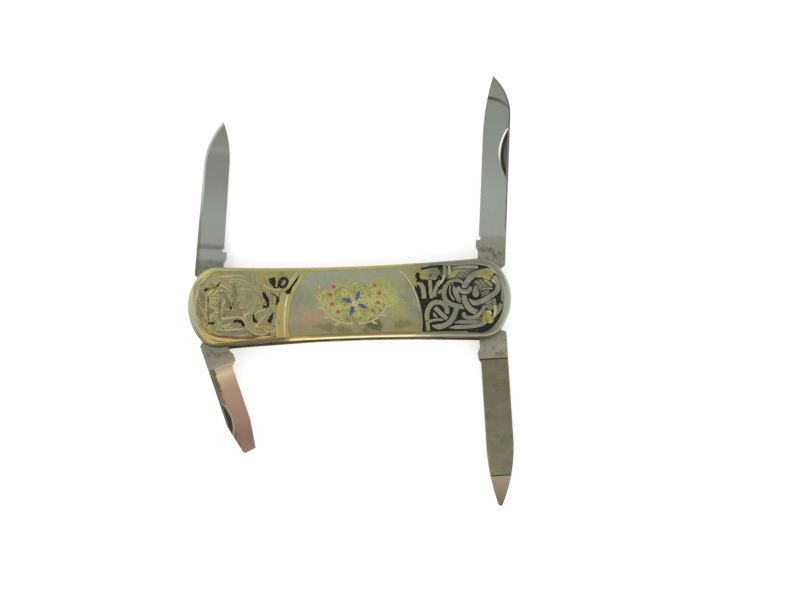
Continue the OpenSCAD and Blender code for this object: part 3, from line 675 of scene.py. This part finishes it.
def laid(rows, floor, rise, margin=0.0, sink=0.0, ease=0.14):
    """Lays flat-topped bands with eased edges along their routes; those 1 mm wide or more rise fully."""
    section = bpy.data.curves.new("band_section", "CURVE")
    rim = section.splines.new("POLY")
    half, foot = 0.5, 0.24
    corners = ((-half, -foot), (half, -foot), (half, -ease),
               (half - ease, 0), (ease - half, 0), (-half, -ease))
    rim.points.add(len(corners) - 1)
    for corner, (x, y) in zip(rim.points, corners):
        corner.co = (x * MM, y * MM, 0, 1)
    rim.use_cyclic_u = True
    routes = bpy.data.curves.new("band_routes", "CURVE")
    routes.dimensions = "3D"
    routes.twist_mode = "Z_UP"
    routes.resolution_u = 6
    routes.use_fill_caps = True
    routes.bevel_mode = "OBJECT"
    for width, *ends, route in rows:
        spline = routes.splines.new("BEZIER")
        last = len(route) - 1
        spline.bezier_points.add(last)
        end_shares = dict(zip((0, last), END_SHARES[ends[0]])) if ends else {}
        for number, (stop, (x, y, *own)) in enumerate(zip(spline.bezier_points, route)):
            dip = DIP_STEP * own[0] if own else 0
            share = own[1] if len(own) == 2 else end_shares.get(number, 1)
            top = floor + rise * min(1, 0.3 + 0.7 * width * share) + dip - sink
            stop.co = (x * MM, y * MM, top * MM)
            stop.radius = max(0.06, width * share + 2 * margin)
            stop.handle_left_type = stop.handle_right_type = "AUTO"
    holders = [in_scene("band_section", section), in_scene("band_routes", routes)]
    routes.bevel_object = holders[0]
    graph = bpy.context.evaluated_depsgraph_get()
    mesh = bpy.data.meshes.new_from_object(holders[1].evaluated_get(graph))
    shape = bmesh.new()
    shape.from_mesh(mesh)
    bpy.data.meshes.remove(mesh)
    for holder in holders:
        bpy.data.objects.remove(holder)
    bmesh.ops.remove_doubles(shape, verts=shape.verts, dist=0.001 * MM)
    bmesh.ops.recalc_face_normals(shape, faces=shape.faces)
    return shape


def mirrored(shape):
    """The same shape on the other half of the handle."""
    bmesh.ops.scale(shape, verts=shape.verts, vec=(-1, 1, 1))
    bmesh.ops.recalc_face_normals(shape, faces=shape.faces)
    return shape


top_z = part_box("front_cover")[1].z / MM
over_to_back = Matrix.Translation((0, 0, top_z * MM)) @ Matrix.Rotation(radians(180), 4, "Y")


def on_both_sides(name, shape, material):
    """Puts a piece of the ornament on the front and, turned over, on the back."""
    turned = shape.copy()
    bmesh.ops.transform(turned, matrix=over_to_back, verts=turned.verts)
    piece("front_" + name, shape, material, "handle")
    piece("back_" + name, turned, material, "handle")


silver_bands, shader, where = finish("silvered_bands")
place = in_millimetres(where)
rubbed, cloud = tarnished(where, 330, 0.5, 0.15)
shifted = abs(place[0]) + (cloud - 0.5) * 18
gilded = between(shifted, 21, 14)
pin_distance = vector("DISTANCE", joined(abs(place[0]), abs(place[1])), (29.8, 4.7, 0))
gilded = math("MAXIMUM", gilded, between(pin_distance, 2.6, 1.4))
colour = mixed(rubbed, (0.25, 0.255, 0.18), (0.315, 0.3, 0.235))
colour = mixed(gilded * 0.7, colour, (0.4, 0.365, 0.17))
surface(shader, colour, cloud, (0.25, 0.42), 0.02, 0.3)

gold_bands, shader, where = finish("gilt_bands")
rubbed, cloud = tarnished(where, 300, 0.5, 0.2)
warm = tarnished(where, 120, 0.54, 0.1)[0]
colour = mixed(warm, (0.6, 0.54, 0.24), (0.66, 0.51, 0.22))
colour = mixed(rubbed * 0.6, colour, (0.4, 0.38, 0.22))
surface(shader, rubbed_smooth(where, colour), cloud, (0.22, 0.4), 0.02, 0.3)

band_fill, shader, where = finish("rubbed_band_fill")
rubbed, cloud = tarnished(where, 420, 0.5, 0.16)
grey = tarnished(where, 130, 0.5, 0.12)[0]
colour = mixed(grey, (0.34, 0.31, 0.145), (0.29, 0.285, 0.2))
colour = mixed(rubbed * 0.5, colour, (0.28, 0.255, 0.15))
surface(shader, rubbed_smooth(where, colour), cloud, (0.26, 0.44), 0.03, 0.35)

groove_brown, shader, where = finish("groove_brown")
stain, cloud = tarnished(where, 520, 0.5, 0.12)
colour = mixed(stain, (0.22, 0.18, 0.07), (0.12, 0.1, 0.045))
surface(shader, rubbed_smooth(where, colour), cloud, (0.36, 0.55), 0.03, 0.35)

# Polished gilt for ridges and edges; its near-white cream tone is partly a painted highlight.
bright_gilt, shader, where = finish("bright_gilt")
rubbed, cloud = tarnished(where, 300, 0.54, 0.12)
colour = mixed(rubbed, (0.92, 0.84, 0.46), (0.6, 0.53, 0.26))
right = between(in_millimetres(where)[0], -2, 2)
surface(shader, mixed(right * 0.8, colour, (0.55, 0.51, 0.29)), cloud, (0.22, 0.4), 0.02, 0.3)

FLOOR, RISE = top_z - 0.17, 0.15
on_both_sides("right_bands", laid(bands, FLOOR, RISE), silver_bands)
on_both_sides("right_head", laid(head, top_z - 0.006, 0), gilt_ground)
on_both_sides("right_head_lines", laid(head_lines, top_z + 0.004, 0), black_enamel)
on_both_sides("right_polished_edges", laid(polished_right, top_z - 0.003, 0), bright_gilt)
on_both_sides("border_fill", laid(border_fill, top_z - 0.004, 0), gilt)
# The last band lies against the rim and has no groove on the right.
grooves = laid(bands[:-1], FLOOR, RISE, margin=0.2, sink=0.05, ease=0.03)
on_both_sides("right_grooves", grooves, black_enamel)
on_both_sides("left_bands", mirrored(laid(bands, FLOOR, RISE)), gold_bands)
grooves = laid(bands, FLOOR, RISE, margin=0.1, sink=0.055)
on_both_sides("left_grooves", mirrored(grooves), groove_brown)
fill = laid(bands, FLOOR, RISE, margin=-0.14, sink=-0.008)
on_both_sides("left_band_fill", mirrored(fill), band_fill)

# What is left of the enamel on the left
# Short strokes of black that have stayed in the corners of the worn panel.
remains = (
    (1.45, "tail", ((-16.6, 5.75), (-16.35, 4.9), (-16.05, 3.8))),
    (0.45, "leaf", ((-16.4, 3.9), (-15.8, 3.6), (-15, 3.6))),
    (0.75, ((-15, 3.7), (-14.95, 4.5), (-14.6, 5.2), (-14.1, 5.6))),
    (0.6, ((-14.9, 3.65), (-14, 3.75), (-13.4, 4.3), (-13.25, 5), (-13.6, 5.5), (-14.3, 5.6))),
    (0.62, "tail", ((-12.7, 3.1), (-12, 4.1), (-11.2, 5.2), (-10.6, 6.2))),
    (1.5, "tail", ((-13.5, 2.2), (-13.1, 2.6), (-12.3, 3.6))),
    (1.15, "leaf", ((-18.65, 2.8), (-18.1, 1.8), (-17.6, 0.9), (-17.5, -0.2))),
    (0.5, ((-17.5, 0.3), (-17.55, -0.4), (-18, -0.55), (-18.6, -0.35))),
    (0.35, "leaf", ((-16.8, 2.5), (-16, 2), (-15.4, 1.3))),
    (1.05, "leaf", ((-15.6, 1.8), (-15.35, 0.8), (-15.8, -0.1))),
    (0.65, ((-20.65, -2), (-20.55, -3), (-20.4, -3.5), (-19.8, -3.65))),
    (0.95, "tail", ((-17.4, -3.9), (-17, -3.3), (-16.8, -2.7), (-16.4, -1.8))),
    (0.75, ((-24.9, -3.5), (-23.8, -3.4), (-23.2, -3.6), (-22.6, -4.5))),
    (0.5, ((-25.3, -0.1), (-25.6, -0.8))),
    (0.55, "tail", ((-31.05, 3.5), (-30.6, 3.7), (-30, 3.85))),
    (0.42, "leaf", ((-28.6, 4.15), (-28.1, 4.6), (-27.4, 5.25))),
    (0.4, ((-30.3, -3.5), (-29.6, -3.6), (-29, -3.5))),
)
on_both_sides("left_remains", laid(remains, top_z + 0.008, 0), black_enamel)

# Bared and polished places on the left
# The gilding has gone from a few bands of the worn panel, and their edges are polished bright.
bared = (
    (1.25, ((-28.1, 2.8, 0, 0.5), (-27.1, 2.45, 0, 0.9), (-26.4, 1.8), (-26.05, 1), (-26.15, 0.3),
            (-26.65, -0.05, 0, 0.8))),
    (1.7, ((-27.35, -1.6), (-25.8, -1.65), (-24.3, -1.65), (-22.85, -1.7))),
    (1.25, ((-31.8, 3.7, 0, 0.7), (-31.75, 2.6), (-31.5, 1.3), (-31.1, 0, 0, 0.7))),
    (0.95, "leaf", ((-32.4, 0.8), (-32.4, -0.6), (-32.05, -2), (-31.5, -3.3))),
    (1.9, ((-29.95, -0.95, 0, 1), (-29.4, -0.95, 0, 0.55), (-28.8, -0.95, 0, 0.08))),
    (1.2, ((-24.55, 4.9, 0, 0.2), (-24.6, 4, 0, 0.7), (-24.6, 2.5), (-24.5, 1), (-24.5, -0.9))),
    (0.95, "leaf", ((-27.9, -4.2), (-26.8, -3.6), (-25.1, -2.9))),
    (1.1, "leaf", ((-26, -4.45), (-24.5, -4.4), (-22.9, -4.55))),
    (1.3, "leaf", ((-28.6, -5.6), (-26.5, -5.75), (-24, -5.85), (-21.5, -5.8))),
)
polished = (
    (0.22, "leaf", ((-26.4, 2.7), (-25.7, 2), (-25.3, 1), (-25.3, 0), (-25.7, -0.7), (-27.2, -0.8))),
    (0.5, "leaf", ((-26.9, 1.7), (-26.75, 1), (-27, 0.3))),
    (0.26, ((-27.7, -2.5), (-25.5, -2.6), (-23.4, -2.55), (-22.7, -3.1), (-22.35, -4.7))),
    (0.26, "leaf", ((-22.9, -0.9), (-22.7, -1.8), (-22.45, -2.8))),
    (0.22, "leaf", ((-19, -2.6), (-19.1, -4.2), (-18.3, -5.5), (-16.9, -5.9), (-15.7, -5.2), (-15.3, -3.9),
                    (-15.8, -2.7))),
    (0.24, "leaf", ((-30.55, 2.1), (-30.6, 0), (-30.5, -2.9))),
    (0.2, "leaf", ((-27.45, -2.8), (-27.5, -1.5), (-27.5, -0.4))),
    (0.22, "leaf", ((-29.95, -2), (-29.2, -1.5), (-28.3, -0.95))),
    (0.22, "leaf", ((-29.9, 0.15), (-29.2, -0.35), (-28.3, -0.95))),
    (0.2, "leaf", ((-29.8, 0.6), (-28.9, 1.3), (-28, 2.1))),
    (0.24, "leaf", ((-28, -4.9), (-26.6, -4.2), (-25, -3.6))),
    (0.22, "leaf", ((-27.3, -4.4), (-26.3, -5), (-24.6, -5.15), (-22.6, -4.95))),
    (0.22, "leaf", ((-28.6, -5), (-27, -5.25), (-25, -5.3))),
    (0.24, "leaf", ((-18.3, 6.2), (-18.5, 5), (-17.8, 4), (-16.5, 3.4), (-14.6, 3.2))),
    (0.8, "leaf", ((-23.4, 0.4), (-23.3, -0.2), (-23.2, -0.8))),
    (0.4, "leaf", ((-23.75, 4), (-23.65, 3.2), (-23.5, 2.4))),
    (0.3, "leaf", ((-31.9, 4.6), (-32.9, 2), (-33.1, -0.5), (-32.4, -3.2), (-31.2, -5.6))),
)
bared_metal, shader, where = finish("bared_metal")
rubbed, cloud = tarnished(where, 520, 0.5, 0.16)
surface(shader, mixed(rubbed, (0.222, 0.202, 0.126), (0.268, 0.234, 0.134)), cloud, (0.28, 0.44), 0.03, 0.35)
browned = (
    (0.9, "leaf", ((-28.2, -6.3), (-26, -6.75), (-23.5, -6.95), (-20.6, -6.75))),
    (0.38, "leaf", ((-30.3, 3.85), (-29.4, 3.9), (-28.3, 4.3))),
    (0.34, ((-30.2, 2.2), (-30.3, 0), (-30.25, -2.9))),
    (0.34, "leaf", ((-27.2, 1.8), (-27.75, 0.4), (-27.8, -1.2), (-27.7, -2.9))),
)
on_both_sides("left_browned_edge", laid(browned, top_z - 0.003, 0), groove_brown)
on_both_sides("left_bared_bands", laid(bared, top_z - 0.006, 0), bared_metal)
on_both_sides("left_polished_edges", laid(polished, top_z, 0), gold_bands)

# Edging of the shield
# A pale ridge runs down the broad band on the left of the shield, and one along its right edge; their cream
# colour is a painted highlight.
edging = (
    (0.42, "leaf", ((-12.9, 2.7), (-13.65, 0.2), (-14, -2.5), (-14.1, -5), (-14.05, -7.3))),
    (0.3, "leaf", ((10.2, 6.9), (12.15, 5.05), (13.8, 2.1), (14.5, -0.2), (14.9, -2.6))),
)
on_both_sides("shield_edging", laid(edging, top_z, 0.02), bright_gilt)

# Eye of the beast
# A small domed spot of dark red enamel set into the head at the top of each black panel.


def domes(spots, radius, base, height):
    """Low domes at given places, each a ball pressed flat and sunk to its middle."""
    shape = bmesh.new()
    for x, y in spots:
        made = bmesh.ops.create_uvsphere(shape, u_segments=16, v_segments=8, radius=radius * MM)
        bmesh.ops.scale(shape, verts=made["verts"], vec=(1, 1, height / radius))
        bmesh.ops.translate(shape, verts=made["verts"], vec=(x * MM, y * MM, base * MM))
    return shape


def enamel_finish(name, tone, worn):
    material, shader, where = finish(name, metallic=0)
    chipped, cloud = tarnished(where, 1900, 0.56, 0.07)
    surface(shader, mixed(chipped, tone, worn), cloud, (0.2, 0.45), 0.03, 0.3)
    return material


eye_red = enamel_finish("eye_red", (0.09, 0.012, 0.01), (0.03, 0.012, 0.01))
on_both_sides("right_eye", domes(((17.5, 5.1),), 0.36, top_z - 0.05, 0.08), eye_red)

# Shields
# A plate of nickel silver let into the middle of each cover, dulled and stained by handling.
# Thin gilding has spread over its middle, where the ornament lies.
plate, shader, where = finish("stained_nickel_silver")
place = in_millimetres(where)
stain, cloud = tarnished(where, 230, 0.5, 0.14)
haze = tarnished(where, 420, 0.52, 0.08)[1]
specks, fine = tarnished(where, 1500, 0.57, 0.05)


def patch(middle, size, rough):
    """A ragged oval patch on the plate."""
    spread = oval(where, middle, size)
    for noise, share in ((cloud, rough), (haze, rough), (fine, rough * 0.7)):
        spread = spread + (noise - 0.5) * share
    return between(spread, 1.1, 0.5)


colour = mixed(stain, (0.265, 0.26, 0.17), (0.32, 0.325, 0.225))
colour = mixed(between(place[1], 2.5, 6) * 0.6, colour, (0.375, 0.39, 0.28))
leafed = mixed(between(haze, 0.38, 0.62), (0.36, 0.36, 0.125), (0.53, 0.51, 0.175))
colour = mixed(patch((0.8, -0.4), (9.5, 5.6), 1.7) * 0.9, colour, leafed)
colour = mixed(patch((7.4, 0.6), (4.2, 4.6), 2.4) * 0.65, colour, leafed)
colour = mixed(patch((-8.4, -3.4), (4.6, 2.8), 2.8) * 0.75, colour, (0.42, 0.29, 0.175))
colour = mixed(patch((10.8, -3.6), (2.4, 1.6), 2.4) * 0.45, colour, (0.44, 0.37, 0.14))
sinking = place[1] + (cloud - 0.5) * 7
colour = mixed(between(sinking, -3.4, -5.6) * 0.75, colour, (0.295, 0.268, 0.113))
for middle, size, share in (((5.8, -5.4), (2.6, 1.4), 0.85), ((-4.8, -5.4), (2.6, 0.9), 0.4),
                            ((11.2, -5.4), (1.8, 0.9), 0.4), ((-1, -6.3), (3.4, 0.8), 0.4)):
    colour = mixed(patch(middle, size, 2.4) * share, colour, (0.13, 0.125, 0.06))
speckled = specks * patch((1.5, -1), (9, 6.5), 1.0)
colour = mixed(speckled * 0.6, colour, (0.1, 0.105, 0.055))
surface(shader, colour, fine, (0.32, 0.55), 0.03, 0.35)
for face in ("front", "back"):
    made = piece(face + "_shield_plate", cad_copy(face + "_shield"), plate, "handle",
                 face + "_shield")
    ease_edges(made, 0.06, 50)

# Ornament on the front shield
# A rosette between two leafy sprays in thin gilt relief, with berries and petals of coloured enamel.
# Rubbing has taken the gilding off its high places.
rosette = Vector((1.1, -0.4))
petals, blue_petals, sprays, berries = [], [], [], []
petal_count = 8
for number in range(petal_count):
    turn = radians((number + 0.5) * 360 / petal_count)
    way = Vector((cos(turn), sin(turn)))
    row = (1.15, "leaf", tuple(tuple(rosette + way * reach) for reach in (0.6, 1.7, 2.9)))
    (blue_petals if number % 2 else petals).append(row)
for side in (-1, 1):
    stem = [(rosette.x + side * x, rosette.y + y) for x, y in
            ((0.6, -4.3), (2.8, -4.1), (4.9, -3.0), (6.5, -1.2), (7.3, 1.0), (7.4, 3.2))]
    sprays.append((0.4, "tail", tuple(stem)))
    for x, y, lean, length in (
            (2.4, -4.0, 62, 1.8), (3.2, -3.9, -25, 1.6), (4.5, -3.1, 80, 1.9), (5.2, -2.7, -5, 1.7),
            (6.0, -1.6, 105, 1.9), (6.6, -1.0, 22, 1.6), (6.9, 0.2, 125, 1.9), (7.3, 0.8, 45, 1.5),
            (7.2, 2.0, 130, 1.8), (7.4, 3.0, 85, 1.5)):
        root = Vector((rosette.x + side * x, rosette.y + y))
        tip = Vector((side * cos(radians(lean)), sin(radians(lean)))) * length
        sprays.append((0.72, "leaf", tuple(tuple(root + tip * share) for share in (0.05, 0.5, 1))))
    berries += [(rosette.x + side * x, rosette.y + y)
                for x, y in ((3.7, -1.7), (4.9, 0.0), (5.3, 2.0), (4.4, 3.7))]
leaf_gold, shader, where = finish("rubbed_leaf_gold")
rubbed, cloud = tarnished(where, 620, 0.5, 0.14)
surface(shader, mixed(rubbed, (0.56, 0.5, 0.19), (0.42, 0.4, 0.22)), cloud, (0.26, 0.46), 0.03, 0.3)
blue_enamel = enamel_finish("blue_enamel", (0.03, 0.045, 0.2), (0.16, 0.17, 0.2))
red_enamel = enamel_finish("red_enamel", (0.36, 0.028, 0.02), (0.3, 0.14, 0.08))
piece("front_spray", laid(sprays + petals, top_z + 0.01, 0.05), leaf_gold, "handle")
outline = laid(sprays + petals + blue_petals, top_z - 0.03, 0.05, margin=0.11)
piece("front_spray_outline", outline, groove_brown, "handle")
piece("front_blue_petals", laid(blue_petals, top_z + 0.01, 0.05), blue_enamel, "handle")
piece("front_berries", domes(berries, 0.42, top_z, 0.08), red_enamel, "handle")
piece("front_rosette_heart", domes((tuple(rosette),), 0.55, top_z, 0.1), leaf_gold, "handle")

# Pins
# Brass pins through the whole handle, one for each tool, with low peened heads in the panels.
# They are bright where the hand rubs them.
pin_brass, shader, where = finish("pin_brass")
dull, cloud = tarnished(where, 900, 0.52, 0.12)
colour = mixed(dull, (0.43, 0.385, 0.11), (0.24, 0.21, 0.06))
left = between(in_millimetres(where)[0], 10, -10)
surface(shader, mixed(left * 0.8, colour, (0.285, 0.26, 0.085)), cloud, (0.32, 0.5), 0.08, 0.5)
shank, lip, height, rings = 0.825, 1.045, 0.22, 6
seat = top_z / 2 - 0.25
ball = (lip ** 2 + height ** 2) / (2 * height)
profile = [(shank, 0), (shank, seat), (lip, seat)]
for number in range(1, rings + 1):
    reach = lip * (1 - number / rings)
    profile.append((reach, seat + height - ball + sqrt(ball ** 2 - reach ** 2)))
for tool in ("main_blade", "pen_blade", "nail_file", "screwdriver"):
    lowest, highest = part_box(tool + "_pin")
    axis = (lowest + highest) / 2
    shape = bmesh.new()
    stops = [shape.verts.new((axis.x + x * MM, axis.y, axis.z + z * MM)) for x, z in profile]
    for first, second in zip(stops, stops[1:]):
        shape.edges.new((first, second))
    bmesh.ops.mirror(shape, geom=shape.verts[:] + shape.edges[:], axis="Z", merge_dist=0.001 * MM,
                     matrix=Matrix.Translation(-axis))
    bmesh.ops.spin(shape, geom=shape.verts[:] + shape.edges[:], cent=axis, axis=(0, 0, 1), angle=radians(360),
                   steps=40, use_merge=True)
    bmesh.ops.remove_doubles(shape, verts=shape.verts, dist=0.001 * MM)
    bmesh.ops.recalc_face_normals(shape, faces=shape.faces)
    piece(tool + "_pin_peened", shape, pin_brass, "handle", tool + "_pin")

# Table
# A plain white sheet of card under the knife, large enough to fill the picture.
shape = bmesh.new()
bmesh.ops.create_grid(shape, x_segments=1, y_segments=1, size=2)
mesh = bpy.data.meshes.new("table")
shape.to_mesh(mesh)
shape.free()
table = in_scene("table", mesh)
card = bpy.data.materials.new("white_card")
card.use_nodes = True
tree = card.node_tree
tree.nodes.clear()
lit = add(tree, "ShaderNodeBsdfDiffuse", {"Color": (0.8, 0.8, 0.8, 1)})
rays = tree.nodes.new("ShaderNodeLightPath").outputs
straight, mirror, through = (
    Signal(tree, rays["Is %s Ray" % kind]) for kind in ("Camera", "Glossy", "Transmission"))
seen = math("MAXIMUM", straight, math("MAXIMUM", mirror, through))
glow = add(tree, "ShaderNodeEmission", {"Color": (1, 1, 1, 1), "Strength": seen * 0.42})
both = add(tree, "ShaderNodeAddShader", {0: lit, 1: glow})
both.lead_to(tree.nodes.new("ShaderNodeOutputMaterial").inputs["Surface"])
mesh.materials.append(card)

# Light
# A pale room, darker overhead where the camera is and brightest in front, where a wide window draws
# a bright line along the lower rim. One broad soft lamp stands at the upper left.
scene = bpy.context.scene
room = bpy.data.worlds.new("room")
scene.world = room
room.use_nodes = True
tree = room.node_tree
tree.nodes.clear()
way = add(tree, "ShaderNodeTexCoord", {}, "Generated")
level = between(parts(way)[2], 0.35, 1.0, 1.0, 0.7)
for side, share, low, high in (((0, -1, 0), 0.85, 0.22, 0.6), ((-1, 0, 0), 0.1, 0.4, 0.85)):
    level = level + between(vector("DOT_PRODUCT", way, side), low, high, 0.0, share)
strength = math("MAXIMUM", level, add(tree, "ShaderNodeLightPath", {}, "Is Camera Ray"))
sky = add(tree, "ShaderNodeBackground", {"Color": (1, 1, 1, 1), "Strength": strength})
sky.lead_to(tree.nodes.new("ShaderNodeOutputWorld").inputs["Surface"])

light = bpy.data.lights.new("soft_lamp", "AREA")
light.size = 0.5
light.energy = 0.6
lamp = in_scene("soft_lamp", light)
lamp.location = (-0.32, 0.3, 0.5)
lamp.rotation_euler = (-lamp.location).to_track_quat("-Z", "Y").to_euler()
scene.view_settings.view_transform = "Standard"

# Camera
# Nearly straight above the knife, leaning a little from the front, so that its lower side just shows.
lean = Euler((radians(9.6), radians(-0.6), radians(-2.15)))
view = bpy.data.cameras.new("camera")
view.lens = 70
view.sensor_width = 36
camera = in_scene("camera", view)
camera.rotation_euler = lean
aside, upward, away = 10.83, 1.41, 339.2
camera.location = lean.to_matrix() @ Vector((aside, upward, away)) * MM
scene.camera = camera
